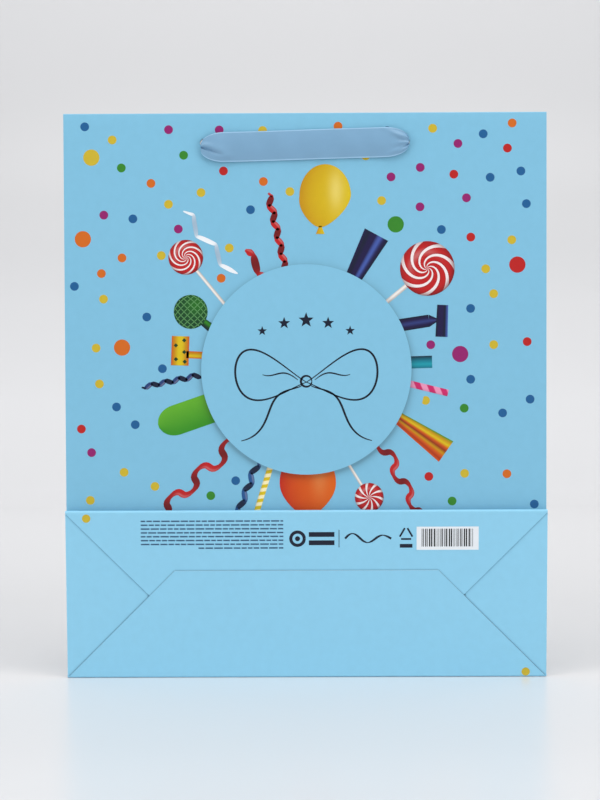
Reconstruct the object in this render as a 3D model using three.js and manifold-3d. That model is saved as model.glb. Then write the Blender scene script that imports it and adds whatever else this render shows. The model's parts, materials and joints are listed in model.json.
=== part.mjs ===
// Gift bag, folded flat and standing on its bottom edge, with its block bottom turned up in front.
// Units are millimetres. X runs along the width, +Z is up and the viewer stands at -Y.
// "Depth" is the distance from the back sheet's rear face towards the viewer.
import * as THREE from 'three';
import { mergeVertices } from 'three/addons/utils/BufferGeometryUtils.js';
import Module from 'manifold-3d';

const wasm = await Module();
wasm.setup();

// Driving dimensions
const bagWidth = 230;
const bagHeight = 270;
const bagDepth = 80;
const paper = 0.25;
const card = 0.4;
const baseCardThickness = 0.6;
const glueGap = 0.05;
const moveGap = 0.15;
const edgeGap = 0.2;
const innerSpace = 2.5;
const hemHeight = 40;
const flapOverlap = 12;
const seamWidth = 15;
const ribbonWidth = 15;
const ribbonThickness = 0.3;
const holeSpacing = 97.4;
const holeDrop = 14;
const holeRadius = 2.5;
const tailLength = 112;
const backTailSlant = THREE.MathUtils.degToRad(8);

// Depths of the layers at the top, from the back sheet forwards
const halfWidth = bagWidth / 2;
const halfDepth = bagDepth / 2;
const frontOuter = 2 * paper + innerSpace;
const frontInner = frontOuter - paper;
const hemDepth = 2 * (paper + glueGap) + card;
const gussetDepth = hemDepth + 2 * glueGap;
const holeHeight = bagHeight - holeDrop;

// The folded bottom leans out over the front sheet by this angle
const baseStart = gussetDepth + 2 * (paper + moveGap);
const layersAtFold = 4 * moveGap + 3 * paper;
const lean = Math.atan((frontOuter + layersAtFold - baseStart) / halfDepth);
const flapStep = paper + glueGap;
const frontFlapFace = glueGap + baseCardThickness + 2 * flapStep;

// Rear and front limits of the whole bag, which put the origin under its middle
const ribbonProud = 0.1 + ribbonThickness;
const foldTop = bagDepth - edgeGap;
const frontLimit = baseStart + foldTop * Math.sin(lean) + frontFlapFace * Math.cos(lean);
const rearY = (frontLimit - ribbonProud) / 2;

const bag = new THREE.Group();

const paint = (color, roughness) => new THREE.MeshStandardMaterial({ color, roughness, metalness: 0 });
const printedPaper = paint(0x7cc0e2, 0.35);
const innerPaper = paint(0xf2f2ee, 0.8);
const greyCard = paint(0xb9b4a8, 0.9);
const satin = paint(0x7da5c8, 0.3);

function outline(points) {
  return new THREE.Shape(points.map(([x, z]) => new THREE.Vector2(x, z)));
}

// A face-on outline made as thick as asked, towards the viewer
function layer(shape, depth, thickness) {
  const geometry = new THREE.ExtrudeGeometry(shape, { depth: thickness, bevelEnabled: false, curveSegments: 12 });
  geometry.rotateX(Math.PI / 2);
  geometry.translate(0, -depth, 0);
  return geometry;
}

function solid(geometry) {
  const bare = geometry.index ? geometry.toNonIndexed() : geometry.clone();
  bare.deleteAttribute('normal');
  bare.deleteAttribute('uv');
  const merged = mergeVertices(bare, 1e-5);
  const vertProperties = new Float32Array(merged.attributes.position.array);
  const triVerts = new Uint32Array(merged.index.array);
  return new wasm.Manifold(new wasm.Mesh({ numProp: 3, vertProperties, triVerts }));
}

function surface(shape) {
  const mesh = shape.getMesh();
  const geometry = new THREE.BufferGeometry();
  geometry.setAttribute('position', new THREE.BufferAttribute(new Float32Array(mesh.vertProperties), 3));
  geometry.setIndex(new THREE.BufferAttribute(new Uint32Array(mesh.triVerts), 1));
  geometry.computeVertexNormals();
  return geometry;
}

function add(parent, name, geometry, material) {
  const mesh = new THREE.Mesh(geometry, material);
  mesh.name = name;
  parent.add(mesh);
  return mesh;
}

function group(parent, x, y, z) {
  const made = new THREE.Group();
  made.position.set(x, y, z);
  parent.add(made);
  return made;
}

// A round bar along Y for a ribbon hole, or for the pinched ribbon in it
function bar(radius, x, z, fromDepth, toDepth) {
  const geometry = new THREE.CylinderGeometry(radius, radius, toDepth - fromDepth, 20);
  geometry.translate(x, -(fromDepth + toDepth) / 2, z);
  return geometry;
}

function cutHoles(geometry, fromDepth, toDepth) {
  let shape = solid(geometry);
  for (const side of [-1, 1]) {
    const x = side * holeSpacing / 2;
    shape = shape.subtract(solid(bar(holeRadius, x, holeHeight, fromDepth - 1, toDepth + 1)));
  }
  return surface(shape);
}

// A panel with its top hem turned in: the section is drawn in depth and height, then run along X
function hemmedPanel(outerDepth, inwards, bottom) {
  const radius = hemDepth / 2;
  const top = bagHeight - radius;
  const centre = outerDepth + inwards * radius;
  const start = outerDepth;
  const section = new THREE.Shape();
  section.moveTo(start, bottom);
  section.lineTo(start, top);
  section.absarc(centre, top, radius, inwards > 0 ? Math.PI : 0, inwards > 0 ? 0 : Math.PI, inwards > 0);
  section.lineTo(start + inwards * hemDepth, bagHeight - hemHeight);
  section.lineTo(start + inwards * (hemDepth - paper), bagHeight - hemHeight);
  section.lineTo(start + inwards * (hemDepth - paper), top);
  section.absarc(centre, top, radius - paper, inwards > 0 ? 0 : Math.PI, inwards > 0 ? Math.PI : 0, inwards < 0);
  section.lineTo(start + inwards * paper, bottom);
  const geometry = new THREE.ExtrudeGeometry(section, { depth: bagWidth, bevelEnabled: false, curveSegments: 8 });
  // Section x is depth (-Y), section y is height (+Z) and the run is along X
  const turn = new THREE.Matrix4().set(0, 0, 1, -halfWidth, -1, 0, 0, 0, 0, 1, 0, 0, 0, 0, 0, 1);
  geometry.applyMatrix4(turn);
  return turnOutwards(geometry);
}

// The section's axes swap handedness, so the faces are turned to look outwards again
function turnOutwards(geometry) {
  const bare = geometry.index ? geometry.toNonIndexed() : geometry;
  const place = bare.attributes.position;
  let volume = 0;
  const [a, b, c] = [new THREE.Vector3(), new THREE.Vector3(), new THREE.Vector3()];
  for (let i = 0; i < place.count; i += 3) {
    a.fromBufferAttribute(place, i);
    b.fromBufferAttribute(place, i + 1);
    c.fromBufferAttribute(place, i + 2);
    volume += a.dot(b.cross(c));
  }
  if (volume > 0) {
    return bare;
  }
  for (let i = 0; i < place.count; i += 3) {
    b.fromBufferAttribute(place, i + 1);
    c.fromBufferAttribute(place, i + 2);
    place.setXYZ(i + 1, c.x, c.y, c.z);
    place.setXYZ(i + 2, b.x, b.y, b.z);
  }
  return bare;
}

// Back and front sheets, each with a stiffening card in its hem
function panels() {
  const inner = bagHeight - hemHeight + 2;
  const cardOutline = outline([
    [-halfWidth + 1, inner], [halfWidth - 1, inner],
    [halfWidth - 1, bagHeight - hemDepth], [-halfWidth + 1, bagHeight - hemDepth],
  ]);
  const backCardDepth = paper + glueGap;
  const frontCardDepth = frontInner - glueGap - card;
  add(bag, 'back_panel', cutHoles(hemmedPanel(0, 1, 0), 0, hemDepth), printedPaper);
  add(bag, 'back_hem_card', cutHoles(layer(cardOutline, backCardDepth, card), 0, hemDepth), greyCard);
  const front = hemmedPanel(frontOuter, -1, halfDepth);
  add(bag, 'front_panel', cutHoles(front, frontOuter - hemDepth, frontOuter), printedPaper);
  const frontCard = layer(cardOutline, frontCardDepth, card);
  add(bag, 'front_hem_card', cutHoles(frontCard, frontOuter - hemDepth, frontOuter), greyCard);
}

// Each side of the bag is two strips that fold inwards between the sheets
function gussets() {
  const high = bagHeight - 2 * edgeGap;
  const frontGusset = frontOuter - gussetDepth - paper;
  for (const [side, word] of [[-1, 'left'], [1, 'right']]) {
    const across = (inset) => side * (halfWidth - inset);
    const rear = outline([
      [across(edgeGap), edgeGap * 2], [across(halfDepth - edgeGap), halfDepth],
      [across(halfDepth - edgeGap), high], [across(edgeGap), high],
    ]);
    const front = outline([
      [across(halfDepth - edgeGap), halfDepth + edgeGap], [across(edgeGap), halfDepth + edgeGap],
      [across(edgeGap), high], [across(halfDepth - edgeGap), high],
    ]);
    add(bag, `gusset_rear_${word}`, layer(rear, gussetDepth, paper), printedPaper);
    add(bag, `gusset_front_${word}`, layer(front, frontGusset, paper), printedPaper);
  }
  const low = bagHeight - hemHeight - 1;
  const seam = outline([
    [halfWidth - seamWidth, halfDepth], [halfWidth - 1, 3],
    [halfWidth - 1, low], [halfWidth - seamWidth, low],
  ]);
  add(bag, 'side_seam_flap', layer(seam, paper + glueGap, paper), innerPaper);
}

// The bottom: everything below is drawn in the leaning plane of the folded base
function bottom() {
  const leaning = group(bag, 0, -baseStart, 0);
  leaning.rotation.x = lean;
  const footDepth = -3 * (moveGap + paper);
  const foot = outline([
    [-halfWidth, halfDepth + edgeGap], [halfWidth, halfDepth + edgeGap],
    [halfWidth, foldTop], [-halfWidth, foldTop],
  ]);
  add(leaning, 'front_foot', layer(foot, footDepth, paper), printedPaper);
  for (const [side, word] of [[-1, 'left'], [1, 'right']]) {
    const across = (inset) => side * (halfWidth - inset);
    const footWeb = outline([
      [across(edgeGap), halfDepth + edgeGap], [across(edgeGap), foldTop - 3 * edgeGap],
      [across(halfDepth - 3 * edgeGap), halfDepth + edgeGap],
    ]);
    const baseWeb = outline([
      [across(edgeGap), 3 * edgeGap], [across(halfDepth - edgeGap), halfDepth],
      [across(edgeGap), foldTop - 3 * edgeGap],
    ]);
    add(leaning, `foot_web_${word}`, layer(footWeb, footDepth + paper + moveGap, paper), innerPaper);
    add(leaning, `base_web_${word}`, layer(baseWeb, -moveGap - paper, paper), innerPaper);
  }
  baseStack(leaning);
}

// A stiff card inside, then the end flaps, the front flap and, outermost, the rear flap
function baseStack(leaning) {
  const flapHeight = halfDepth + flapOverlap;
  const flapTip = halfWidth - flapHeight;
  const cardSide = halfWidth - 2;
  const inner = outline([[-cardSide, 2], [cardSide, 2], [cardSide, foldTop - 2], [-cardSide, foldTop - 2]]);
  let depth = glueGap;
  add(leaning, 'base_card', layer(inner, depth, baseCardThickness), greyCard);
  depth += baseCardThickness + glueGap;
  for (const [side, word] of [[-1, 'left'], [1, 'right']]) {
    const end = outline([
      [side * halfWidth, edgeGap], [side * flapTip, 3], [side * flapTip, foldTop - 3], [side * halfWidth, foldTop],
    ]);
    add(leaning, `base_end_flap_${word}`, layer(end, depth, paper), printedPaper);
  }
  const front = outline([
    [-halfWidth, foldTop], [-flapTip, foldTop - flapHeight], [flapTip, foldTop - flapHeight], [halfWidth, foldTop],
  ]);
  add(leaning, 'base_front_flap', layer(front, depth + flapStep, paper), printedPaper);
  const rear = outline([
    [-halfWidth, edgeGap], [halfWidth, edgeGap], [flapTip, flapHeight], [-flapTip, flapHeight],
  ]);
  add(leaning, 'base_rear_flap', layer(rear, depth + 2 * flapStep, paper), printedPaper);
}

// The straight stretch of ribbon outside a panel, pinched where it goes into the holes
function ribbonStretch(depth) {
  const end = holeSpacing / 2;
  const half = ribbonWidth / 2;
  const pinch = ribbonWidth * 0.14;
  const shape = outline([
    [-end, -pinch], [-end + half, -half], [end - half, -half], [end, -pinch],
    [end, pinch], [end - half, half], [-end + half, half], [-end, pinch],
  ]);
  const geometry = layer(shape, depth, ribbonThickness);
  geometry.translate(0, 0, holeHeight);
  return geometry;
}

// A ribbon end that hangs inside from its hole, and the flat knot on it
function tail(word, side, place, depth, slant, throughFrom, throughTo) {
  const hang = group(bag, side * holeSpacing / 2, 0, holeHeight);
  hang.rotation.y = side * slant;
  const half = ribbonWidth / 2;
  const knotHeight = 9;
  const strip = outline([
    [-half, -tailLength], [half, -tailLength], [half, -ribbonWidth * 2],
    [holeRadius * 0.7, 0], [-holeRadius * 0.7, 0], [-half, -ribbonWidth * 2],
  ]);
  const plug = bar(holeRadius * 0.7, 0, 0, throughFrom, throughTo);
  const joined = solid(layer(strip, depth, ribbonThickness)).add(solid(plug));
  add(hang, `${place}_ribbon_tail_${word}`, surface(joined), satin);
  const lump = new THREE.SphereGeometry(1, 20, 12);
  lump.scale(half * 0.9, innerSpace * 0.4, knotHeight / 2);
  lump.translate(0, -frontOuter / 2, -tailLength - knotHeight / 2 - edgeGap);
  const loose = outline([
    [-half * 0.5, -tailLength - knotHeight + 1], [half * 0.5, -tailLength - knotHeight + 1],
    [half * 0.8, -tailLength - knotHeight - 14], [-half * 0.8, -tailLength - knotHeight - 10],
  ]);
  const knot = solid(lump).add(solid(layer(loose, frontOuter / 2 - ribbonThickness / 2, ribbonThickness)));
  add(hang, `${place}_knot_${word}`, surface(knot), satin);
}

function handles() {
  const outside = 0.1;
  const hemClear = hemDepth + outside;
  const frontTail = frontOuter - hemClear - ribbonThickness;
  add(bag, 'front_ribbon', ribbonStretch(frontOuter + outside), satin);
  add(bag, 'back_ribbon', ribbonStretch(-outside - ribbonThickness), satin);
  for (const [side, word] of [[-1, 'left'], [1, 'right']]) {
    tail(word, side, 'front', frontTail, 0, frontTail, frontOuter + outside / 2);
    tail(word, side, 'back', hemClear, backTailSlant, -outside / 2, hemClear + ribbonThickness);
  }
}

panels();
gussets();
bottom();
handles();
bag.position.y = rearY;
bag.updateMatrixWorld(true);

export default bag;
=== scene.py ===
import json
import math

import bmesh
import bpy
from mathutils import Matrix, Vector
from mathutils.kdtree import KDTree


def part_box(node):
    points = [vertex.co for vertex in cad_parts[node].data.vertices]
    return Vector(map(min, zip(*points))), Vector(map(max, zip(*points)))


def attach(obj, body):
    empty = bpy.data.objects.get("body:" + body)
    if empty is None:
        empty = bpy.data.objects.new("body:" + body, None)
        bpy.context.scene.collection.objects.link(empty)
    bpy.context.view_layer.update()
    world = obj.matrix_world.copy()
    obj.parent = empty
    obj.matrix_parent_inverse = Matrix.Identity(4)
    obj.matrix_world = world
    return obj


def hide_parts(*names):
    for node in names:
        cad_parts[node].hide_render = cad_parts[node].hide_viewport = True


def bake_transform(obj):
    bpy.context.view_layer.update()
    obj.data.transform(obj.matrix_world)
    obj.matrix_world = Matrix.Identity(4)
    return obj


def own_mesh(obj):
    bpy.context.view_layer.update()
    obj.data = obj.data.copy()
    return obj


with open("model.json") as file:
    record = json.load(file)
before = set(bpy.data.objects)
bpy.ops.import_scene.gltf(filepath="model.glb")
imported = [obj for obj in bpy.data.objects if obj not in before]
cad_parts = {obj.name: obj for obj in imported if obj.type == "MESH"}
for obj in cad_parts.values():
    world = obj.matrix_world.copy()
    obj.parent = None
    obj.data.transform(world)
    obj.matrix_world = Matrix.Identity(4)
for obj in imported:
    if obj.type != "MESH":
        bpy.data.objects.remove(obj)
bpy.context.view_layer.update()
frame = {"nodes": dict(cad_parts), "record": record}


# ---------------------------------------------------------------- camera
# A long lens a little above the middle of the bag, tipped down by about two degrees and
# turned and rolled by a fraction of one, as the bag is seen.
def aim_camera():
    camera = bpy.data.objects.new("camera", bpy.data.cameras.new("camera"))
    bpy.context.collection.objects.link(camera)
    camera.data.lens = 85
    camera.location = (0.0027, -0.902, 0.164)
    camera.rotation_euler = (math.radians(90 - 1.95), math.radians(0.23), math.radians(0.34))
    bpy.context.scene.camera = camera


aim_camera()


# ---------------------------------------------------------------- front and back panels
# One sheet of art paper makes each wide face, printed and laminated outside, white inside. Its top
# 40 mm is turned inside over a stiffening card in a small round fold, and two holes for the ribbon
# are punched through all the layers.
paper = 0.00025
panel_low, panel_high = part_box("back_panel")
half_width = panel_high.x
bag_top = panel_high.z
hem_fold = (panel_high.y - panel_low.y) / 2
hem_end = 0.04
front_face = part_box("front_panel")[0].y
back_face = panel_high.y
hole_height = bag_top - 0.014
hole_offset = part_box("front_ribbon")[1].x - 0.0008
hole_radius = 0.0020


def tint(red, green, blue):
    """A colour given as it looks on screen, from 0 to 255, as the linear value a shader takes."""
    return tuple(
        v / 3294.6 if v <= 10 else ((v / 255 + 0.055) / 1.055) ** 2.4 for v in (red, green, blue)
    ) + (1.0,)


def new_material(name):
    material = bpy.data.materials.new(name)
    material.use_nodes = True
    nodes, links = material.node_tree.nodes, material.node_tree.links
    return material, nodes, links, nodes["Principled BSDF"]


def add_noise(nodes, links, scale, detail):
    noise = nodes.new("ShaderNodeTexNoise")
    noise.inputs["Scale"].default_value = scale
    noise.inputs["Detail"].default_value = detail
    coordinates = nodes.new("ShaderNodeTexCoord")
    links.new(coordinates.outputs["Object"], noise.inputs["Vector"])
    return noise.outputs["Fac"]


def add_bump(nodes, links, height, distance, strength, below=None):
    bump = nodes.new("ShaderNodeBump")
    bump.inputs["Distance"].default_value = distance
    bump.inputs["Strength"].default_value = strength
    links.new(height, bump.inputs["Height"])
    if below is not None:
        links.new(below, bump.inputs["Normal"])
    return bump.outputs["Normal"]


def spread(nodes, links, value, low, high):
    """Maps a 0 to 1 value onto a narrower range."""
    ranged = nodes.new("ShaderNodeMapRange")
    links.new(value, ranged.inputs["Value"])
    ranged.inputs["To Min"].default_value = low
    ranged.inputs["To Max"].default_value = high
    return ranged.outputs["Result"]


def multiply_colour(nodes, links, colour, factor):
    mix = nodes.new("ShaderNodeMix")
    mix.data_type = "RGBA"
    mix.blend_type = "MULTIPLY"
    mix.inputs["Factor"].default_value = 1.0
    links.new(colour, mix.inputs["A"])
    links.new(factor, mix.inputs["B"])
    return mix.outputs["Result"]


def make_printed_paper():
    """A smooth, half-gloss face over a faint fibre and a slow buckle. The mesh holds its ink."""
    material, nodes, links, shader = new_material("laminated_print")
    ink = nodes.new("ShaderNodeAttribute")
    ink.attribute_name = "ink"
    mottle = spread(nodes, links, add_noise(nodes, links, 260.0, 3.0), 0.965, 1.03)
    links.new(multiply_colour(nodes, links, ink.outputs["Color"], mottle), shader.inputs["Base Color"])
    gloss = spread(nodes, links, add_noise(nodes, links, 60.0, 2.0), 0.34, 0.46)
    links.new(gloss, shader.inputs["Roughness"])
    shader.inputs["Specular IOR Level"].default_value = 0.35
    shader.inputs["Coat Weight"].default_value = 0.12
    shader.inputs["Coat Roughness"].default_value = 0.28
    buckle = add_bump(nodes, links, add_noise(nodes, links, 14.0, 1.0), 0.004, 0.25)
    fibre = add_bump(nodes, links, add_noise(nodes, links, 1800.0, 2.0), 0.00003, 0.35, buckle)
    links.new(fibre, shader.inputs["Normal"])
    return material


def make_white_paper():
    """The uncoated side and the cut edges."""
    material, nodes, links, shader = new_material("uncoated_white")
    fleck = spread(nodes, links, add_noise(nodes, links, 420.0, 4.0), 0.9, 1.0)
    colour = nodes.new("ShaderNodeRGB")
    colour.outputs[0].default_value = tint(240, 240, 236)
    links.new(multiply_colour(nodes, links, colour.outputs[0], fleck), shader.inputs["Base Color"])
    shader.inputs["Roughness"].default_value = 0.82
    fibre = add_bump(nodes, links, add_noise(nodes, links, 1500.0, 4.0), 0.00005, 0.5)
    links.new(fibre, shader.inputs["Normal"])
    return material


printed_paper = make_printed_paper()
white_paper = make_white_paper()
bag_blue = tint(128, 191, 220)


def finish_piece(name, mesh, body, *nodes, slot="printed_paper"):
    """Puts a finished mesh in the scene, in place of the nodes that it stands for. It rides on its
    body, or on none where it is to bend between two."""
    piece = bpy.data.objects.new(name, mesh)
    bpy.context.collection.objects.link(piece)
    if body:
        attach(piece, body)
    if nodes:
        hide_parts(*nodes)
    return piece


def ink_all(mesh, colour):
    """Gives every corner of a mesh the same ink."""
    layer = mesh.color_attributes.get("ink") or mesh.color_attributes.new("ink", "FLOAT_COLOR", "CORNER")
    layer.data.foreach_set("color", list(colour) * len(mesh.loops))


def paper_mesh(name, rows, place, thickness, columns, ink=None, folded=()):
    """A closed sheet. rows are (left, right, along) edges; place gives a point from across, along and
    the height through the sheet, which is 0 on the white face and the thickness on the printed face.
    Its cut edges are white; an edge listed in folded turns over into the next panel, so it's printed."""
    work = bmesh.new()
    faces = []
    for height in (0.0, thickness):
        face = []
        for left, right, along in rows:
            xs = [left + (right - left) * c / columns for c in range(columns + 1)]
            face.append([work.verts.new(place(x, along, height)) for x in xs])
        faces.append(face)
    last, end = len(rows) - 1, columns
    for i in range(last):
        for j in range(columns):
            for side, face in enumerate(faces):
                quad = work.faces.new((face[i][j], face[i][j + 1], face[i + 1][j + 1], face[i + 1][j]))
                quad.material_index = 1 - side
                quad.smooth = True
    edges = {
        "start": [(0, j) for j in range(end + 1)], "end": [(last, j) for j in range(end + 1)],
        "left": [(i, 0) for i in range(last + 1)], "right": [(i, end) for i in range(last + 1)],
    }
    for where, edge in edges.items():
        for (a, b), (c, d) in zip(edge, edge[1:]):
            rim = work.faces.new((faces[0][a][b], faces[0][c][d], faces[1][c][d], faces[1][a][b]))
            rim.material_index = 0 if where in folded else 1
    bmesh.ops.recalc_face_normals(work, faces=work.faces)
    mesh = bpy.data.meshes.new(name)
    work.to_mesh(mesh)
    work.free()
    mesh.materials.append(printed_paper)
    mesh.materials.append(white_paper)
    # A sheet's two faces meet its cut edges at a sharp corner
    mesh.set_sharp_from_angle(angle=math.radians(40))
    ink_all(mesh, ink or bag_blue)
    return mesh


def hem_place(outer_y, inwards):
    """Where a point of a hemmed panel lies: up its face, round the top fold and down inside."""
    turn = math.pi * hem_fold
    top = bag_top - hem_fold

    def place(x, along, height):
        radius = hem_fold - paper + height
        angle = min(max((along - top) / turn, 0.0), 1.0) * math.pi
        down = max(along - top - turn, 0.0)
        y = outer_y + inwards * (hem_fold - radius * math.cos(angle))
        z = min(along, top) + radius * math.sin(angle) - down
        return (x, y, z)

    return place


def evenly(start, end, count):
    return [start + (end - start) * i / count for i in range(count + 1)]


def punch_holes(mesh, y):
    """Cuts the two ribbon holes through a panel's mesh."""
    piece = bpy.data.objects.new("punched", mesh)
    bpy.context.collection.objects.link(piece)
    for side in (-1, 1):
        work = bmesh.new()
        bmesh.ops.create_cone(
            work, cap_ends=True, segments=32, radius1=hole_radius, radius2=hole_radius, depth=0.01
        )
        for vertex in work.verts:
            x, up, along = vertex.co
            vertex.co = (x + side * hole_offset, y - along, up + hole_height)
        bmesh.ops.recalc_face_normals(work, faces=work.faces)
        punch_mesh = bpy.data.meshes.new("punch")
        work.to_mesh(punch_mesh)
        work.free()
        punch_mesh.materials.append(white_paper)
        punch = bpy.data.objects.new("punch", punch_mesh)
        bpy.context.collection.objects.link(punch)
        cut = piece.modifiers.new("punch", "BOOLEAN")
        cut.operation = "DIFFERENCE"
        cut.solver = "EXACT"
        cut.material_mode = "TRANSFER"
        cut.object = punch
    bpy.context.view_layer.update()
    depsgraph = bpy.context.evaluated_depsgraph_get()
    result = bpy.data.meshes.new_from_object(piece.evaluated_get(depsgraph))
    for modifier in list(piece.modifiers):
        bpy.data.objects.remove(modifier.object)
    bpy.data.objects.remove(piece)
    return result


def make_panel(name, body, outer_y, inwards, bottom):
    top = bag_top - hem_fold
    turn = math.pi * hem_fold
    inside_end = top + turn + hem_end - hem_fold
    route = evenly(bottom, top, 46) + evenly(top, top + turn, 10)[1:] + evenly(top + turn, inside_end, 8)[1:]
    rows = [(-half_width, half_width, along) for along in route]
    folded = ("left", "right", "start")
    mesh = paper_mesh(name, rows, hem_place(outer_y, inwards), paper, 46, folded=folded)
    mesh = punch_holes(mesh, outer_y)
    mesh.name = name
    ink_all(mesh, bag_blue)
    return finish_piece(name, mesh, body, name.replace("sheet", "panel"))


fold_height = 0.04
make_panel("front_sheet", "front", front_face, 1, fold_height)
make_panel("back_sheet", "back", back_face, -1, 0.0)


# ---------------------------------------------------------------- side gussets
# Each side folds inwards along its middle, so a rear and a front half lie face to face
# between the panels, printed side against printed side.
def make_gusset(side, word, half, printed_sign, bottom_rule):
    low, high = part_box(f"gusset_{half}_{word}")
    inner_edge = min(abs(low.x), abs(high.x))
    outer_edge = max(abs(low.x), abs(high.x))
    white_y = high.y if printed_sign < 0 else low.y

    def place(x, along, height):
        u = (abs(x) - inner_edge) / (outer_edge - inner_edge)
        start = bottom_rule(low.z, u, outer_edge - inner_edge)
        z = start + (high.z - start) * along
        return (x, white_y + printed_sign * height, z)

    rows = [(side * inner_edge, side * outer_edge, along) for along in evenly(0.0, 1.0, 30)]
    name = f"{half}_gusset_sheet_{word}"
    mesh = paper_mesh(name, rows, place, high.y - low.y, 10, folded=("left", "right", "start"))
    finish_piece(name, mesh, f"{half}_gusset_{word}", f"gusset_{half}_{word}")


for side, word in ((-1, "left"), (1, "right")):
    make_gusset(side, word, "rear", -1, lambda low, u, width: low + (1 - u) * width)
    make_gusset(side, word, "front", 1, lambda low, u, width: low)


# ---------------------------------------------------------------- turned-up base
# The block bottom lies folded up in front: the foot strip goes up behind it, and the glued
# end flaps, front flap and rear flap come down again, leaning out over the bottom fold.
joints = {joint["name"]: joint for joint in frame["record"]["behaviour"]["joints"]}
up_base = Vector(joints["base_web_left_fold"]["axis"]).normalized()
out_base = Vector((0.0, -up_base.z, up_base.y))
web_line = Vector(joints["base_web_left_fold"]["pos_m"])
base_depth = 0.08
base_top = base_depth - 0.0002
flap_reach = 0.052
lip_radius = 0.0009
# Painted light: the base gets a lighter copy of the bag's blue, brightening it where it leans out and faces
# a little down, away from the top light
base_blue_painted_light = tint(145, 208, 236)
# The plane of the base's inner face, where it meets the bottom edge
base_foot = Vector((0.0, web_line.y, web_line.z)) - up_base * base_depth / 2 + out_base * 0.00007


def base_place(depth, printed_sign=1):
    """Points on the leaning base: across, up the base, and out from its inner face."""

    def place(x, along, height):
        out = depth + (height if printed_sign > 0 else paper - height)
        return tuple(base_foot + Vector((x, 0.0, 0.0)) + up_base * along + out_base * out)

    return place


def flap_rows(start, end, left_at, right_at, count):
    return [(left_at(along), right_at(along), along) for along in evenly(start, end, count)]


def make_base_sheet(name, body, depth, rows, node, printed_sign=1, columns=40, ink=None, folded=()):
    mesh = paper_mesh(name, rows, base_place(depth, printed_sign), paper, columns, ink, folded)
    return finish_piece(name, mesh, body, node)


end_flap_depth = 0.0007
flap_step = 0.0003
front_flap_depth = end_flap_depth + flap_step
rear_flap_depth = front_flap_depth + flap_step
web_step = 0.0004

for side, word in ((-1, "left"), (1, "right")):
    inner = half_width - flap_reach
    edges = sorted((side * inner, side * half_width))
    end_rows = flap_rows(0.0006, base_top, lambda a: edges[0], lambda a: edges[1], 24)
    make_base_sheet(
        f"end_flap_sheet_{word}", "base", end_flap_depth, end_rows, f"base_end_flap_{word}",
        columns=14, ink=base_blue_painted_light, folded=("left", "right"),
    )

front_rows = flap_rows(
    base_top - flap_reach, base_top,
    lambda a: -half_width + (base_top - a), lambda a: half_width - (base_top - a), 20,
)
make_base_sheet(
    "front_flap_sheet", "base", front_flap_depth, front_rows, "base_front_flap", ink=base_blue_painted_light
)
rear_rows = flap_rows(
    lip_radius + 0.0001, flap_reach, lambda a: -half_width + a, lambda a: half_width - a, 20,
)
make_base_sheet(
    "rear_flap_sheet", "base", rear_flap_depth, rear_rows, "base_rear_flap", ink=base_blue_painted_light
)

foot_depth = -3 * web_step
foot_rows = flap_rows(fold_height + 0.0002, base_top, lambda a: -half_width, lambda a: half_width, 16)
all_round = ("start", "end", "left", "right")
make_base_sheet(
    "foot_sheet", "foot", foot_depth, foot_rows, "front_foot", printed_sign=-1, folded=all_round
)

for side, word in ((-1, "left"), (1, "right")):
    def foot_web_inner(along, side=side):
        return side * (half_width - 0.0004 - max(base_top - 0.001 - along, 0.0004))

    def base_web_inner(along, side=side):
        return side * (half_width - 0.0004 - min(along, base_depth - along) * 0.97)

    web_rows = [
        (foot_web_inner(a), side * (half_width - 0.0002), a)
        for a in evenly(fold_height + 0.0006, base_top - 0.001, 14)
    ]
    make_base_sheet(
        f"foot_web_sheet_{word}", "foot_web_" + word, foot_depth + web_step, web_rows,
        f"foot_web_{word}", printed_sign=1, columns=8, folded=all_round,
    )
    web_rows = [
        (base_web_inner(a), side * (half_width - 0.0002), a) for a in evenly(0.001, base_top - 0.001, 28)
    ]
    make_base_sheet(
        f"base_web_sheet_{word}", "base_web_" + word, -web_step, web_rows,
        f"base_web_{word}", printed_sign=-1, columns=8, folded=all_round,
    )


# ---------------------------------------------------------------- folds of the base
# Where the foot turns over into the front flap the paper makes a round fold, and the rear
# flap's lower edge rolls in towards the back panel in the same way.
def roll_mesh(name, centre, radius, start_angle, end_angle, steps):
    """A strip of paper bent round a line across the bag; angles run from outwards to upwards."""
    route = evenly(start_angle, end_angle, steps)
    rows = [(-half_width, half_width, angle) for angle in route]

    def place(x, angle, height):
        reach = radius - paper + height
        point = centre + out_base * reach * math.cos(angle) + up_base * reach * math.sin(angle)
        return (x, point.y, point.z)

    return paper_mesh(name, rows, place, paper, 40, base_blue_painted_light, ("start", "end"))


flap_outer = front_flap_depth + paper
fold_radius = (flap_outer - foot_depth) / 2
fold_centre = base_foot + up_base * base_top + out_base * (foot_depth + fold_radius)
top_fold = finish_piece(
    "top_fold", roll_mesh("top_fold", fold_centre, fold_radius, 0.0, math.pi, 24), None
)
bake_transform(top_fold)
lip_centre = base_foot + up_base * (lip_radius + 0.0001) + out_base * (rear_flap_depth + paper - lip_radius)
finish_piece(
    "bottom_fold", roll_mesh("bottom_fold", lip_centre, lip_radius, -math.pi * 0.75, 0.0, 14), "base"
)


# ---------------------------------------------------------------- cards and seam
# Grey board stiffens both hems and the base, cut a little small. The side seam's glue flap is
# the sheet's own edge, white side showing. All four keep their designed shapes.
def make_grey_board():
    material, nodes, links, shader = new_material("grey_board")
    fleck = spread(nodes, links, add_noise(nodes, links, 700.0, 6.0), 0.75, 1.08)
    colour = nodes.new("ShaderNodeRGB")
    colour.outputs[0].default_value = tint(178, 172, 160)
    links.new(multiply_colour(nodes, links, colour.outputs[0], fleck), shader.inputs["Base Color"])
    shader.inputs["Roughness"].default_value = 0.9
    grain = add_bump(nodes, links, add_noise(nodes, links, 900.0, 5.0), 0.0001, 0.6)
    links.new(grain, shader.inputs["Normal"])
    return material


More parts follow.
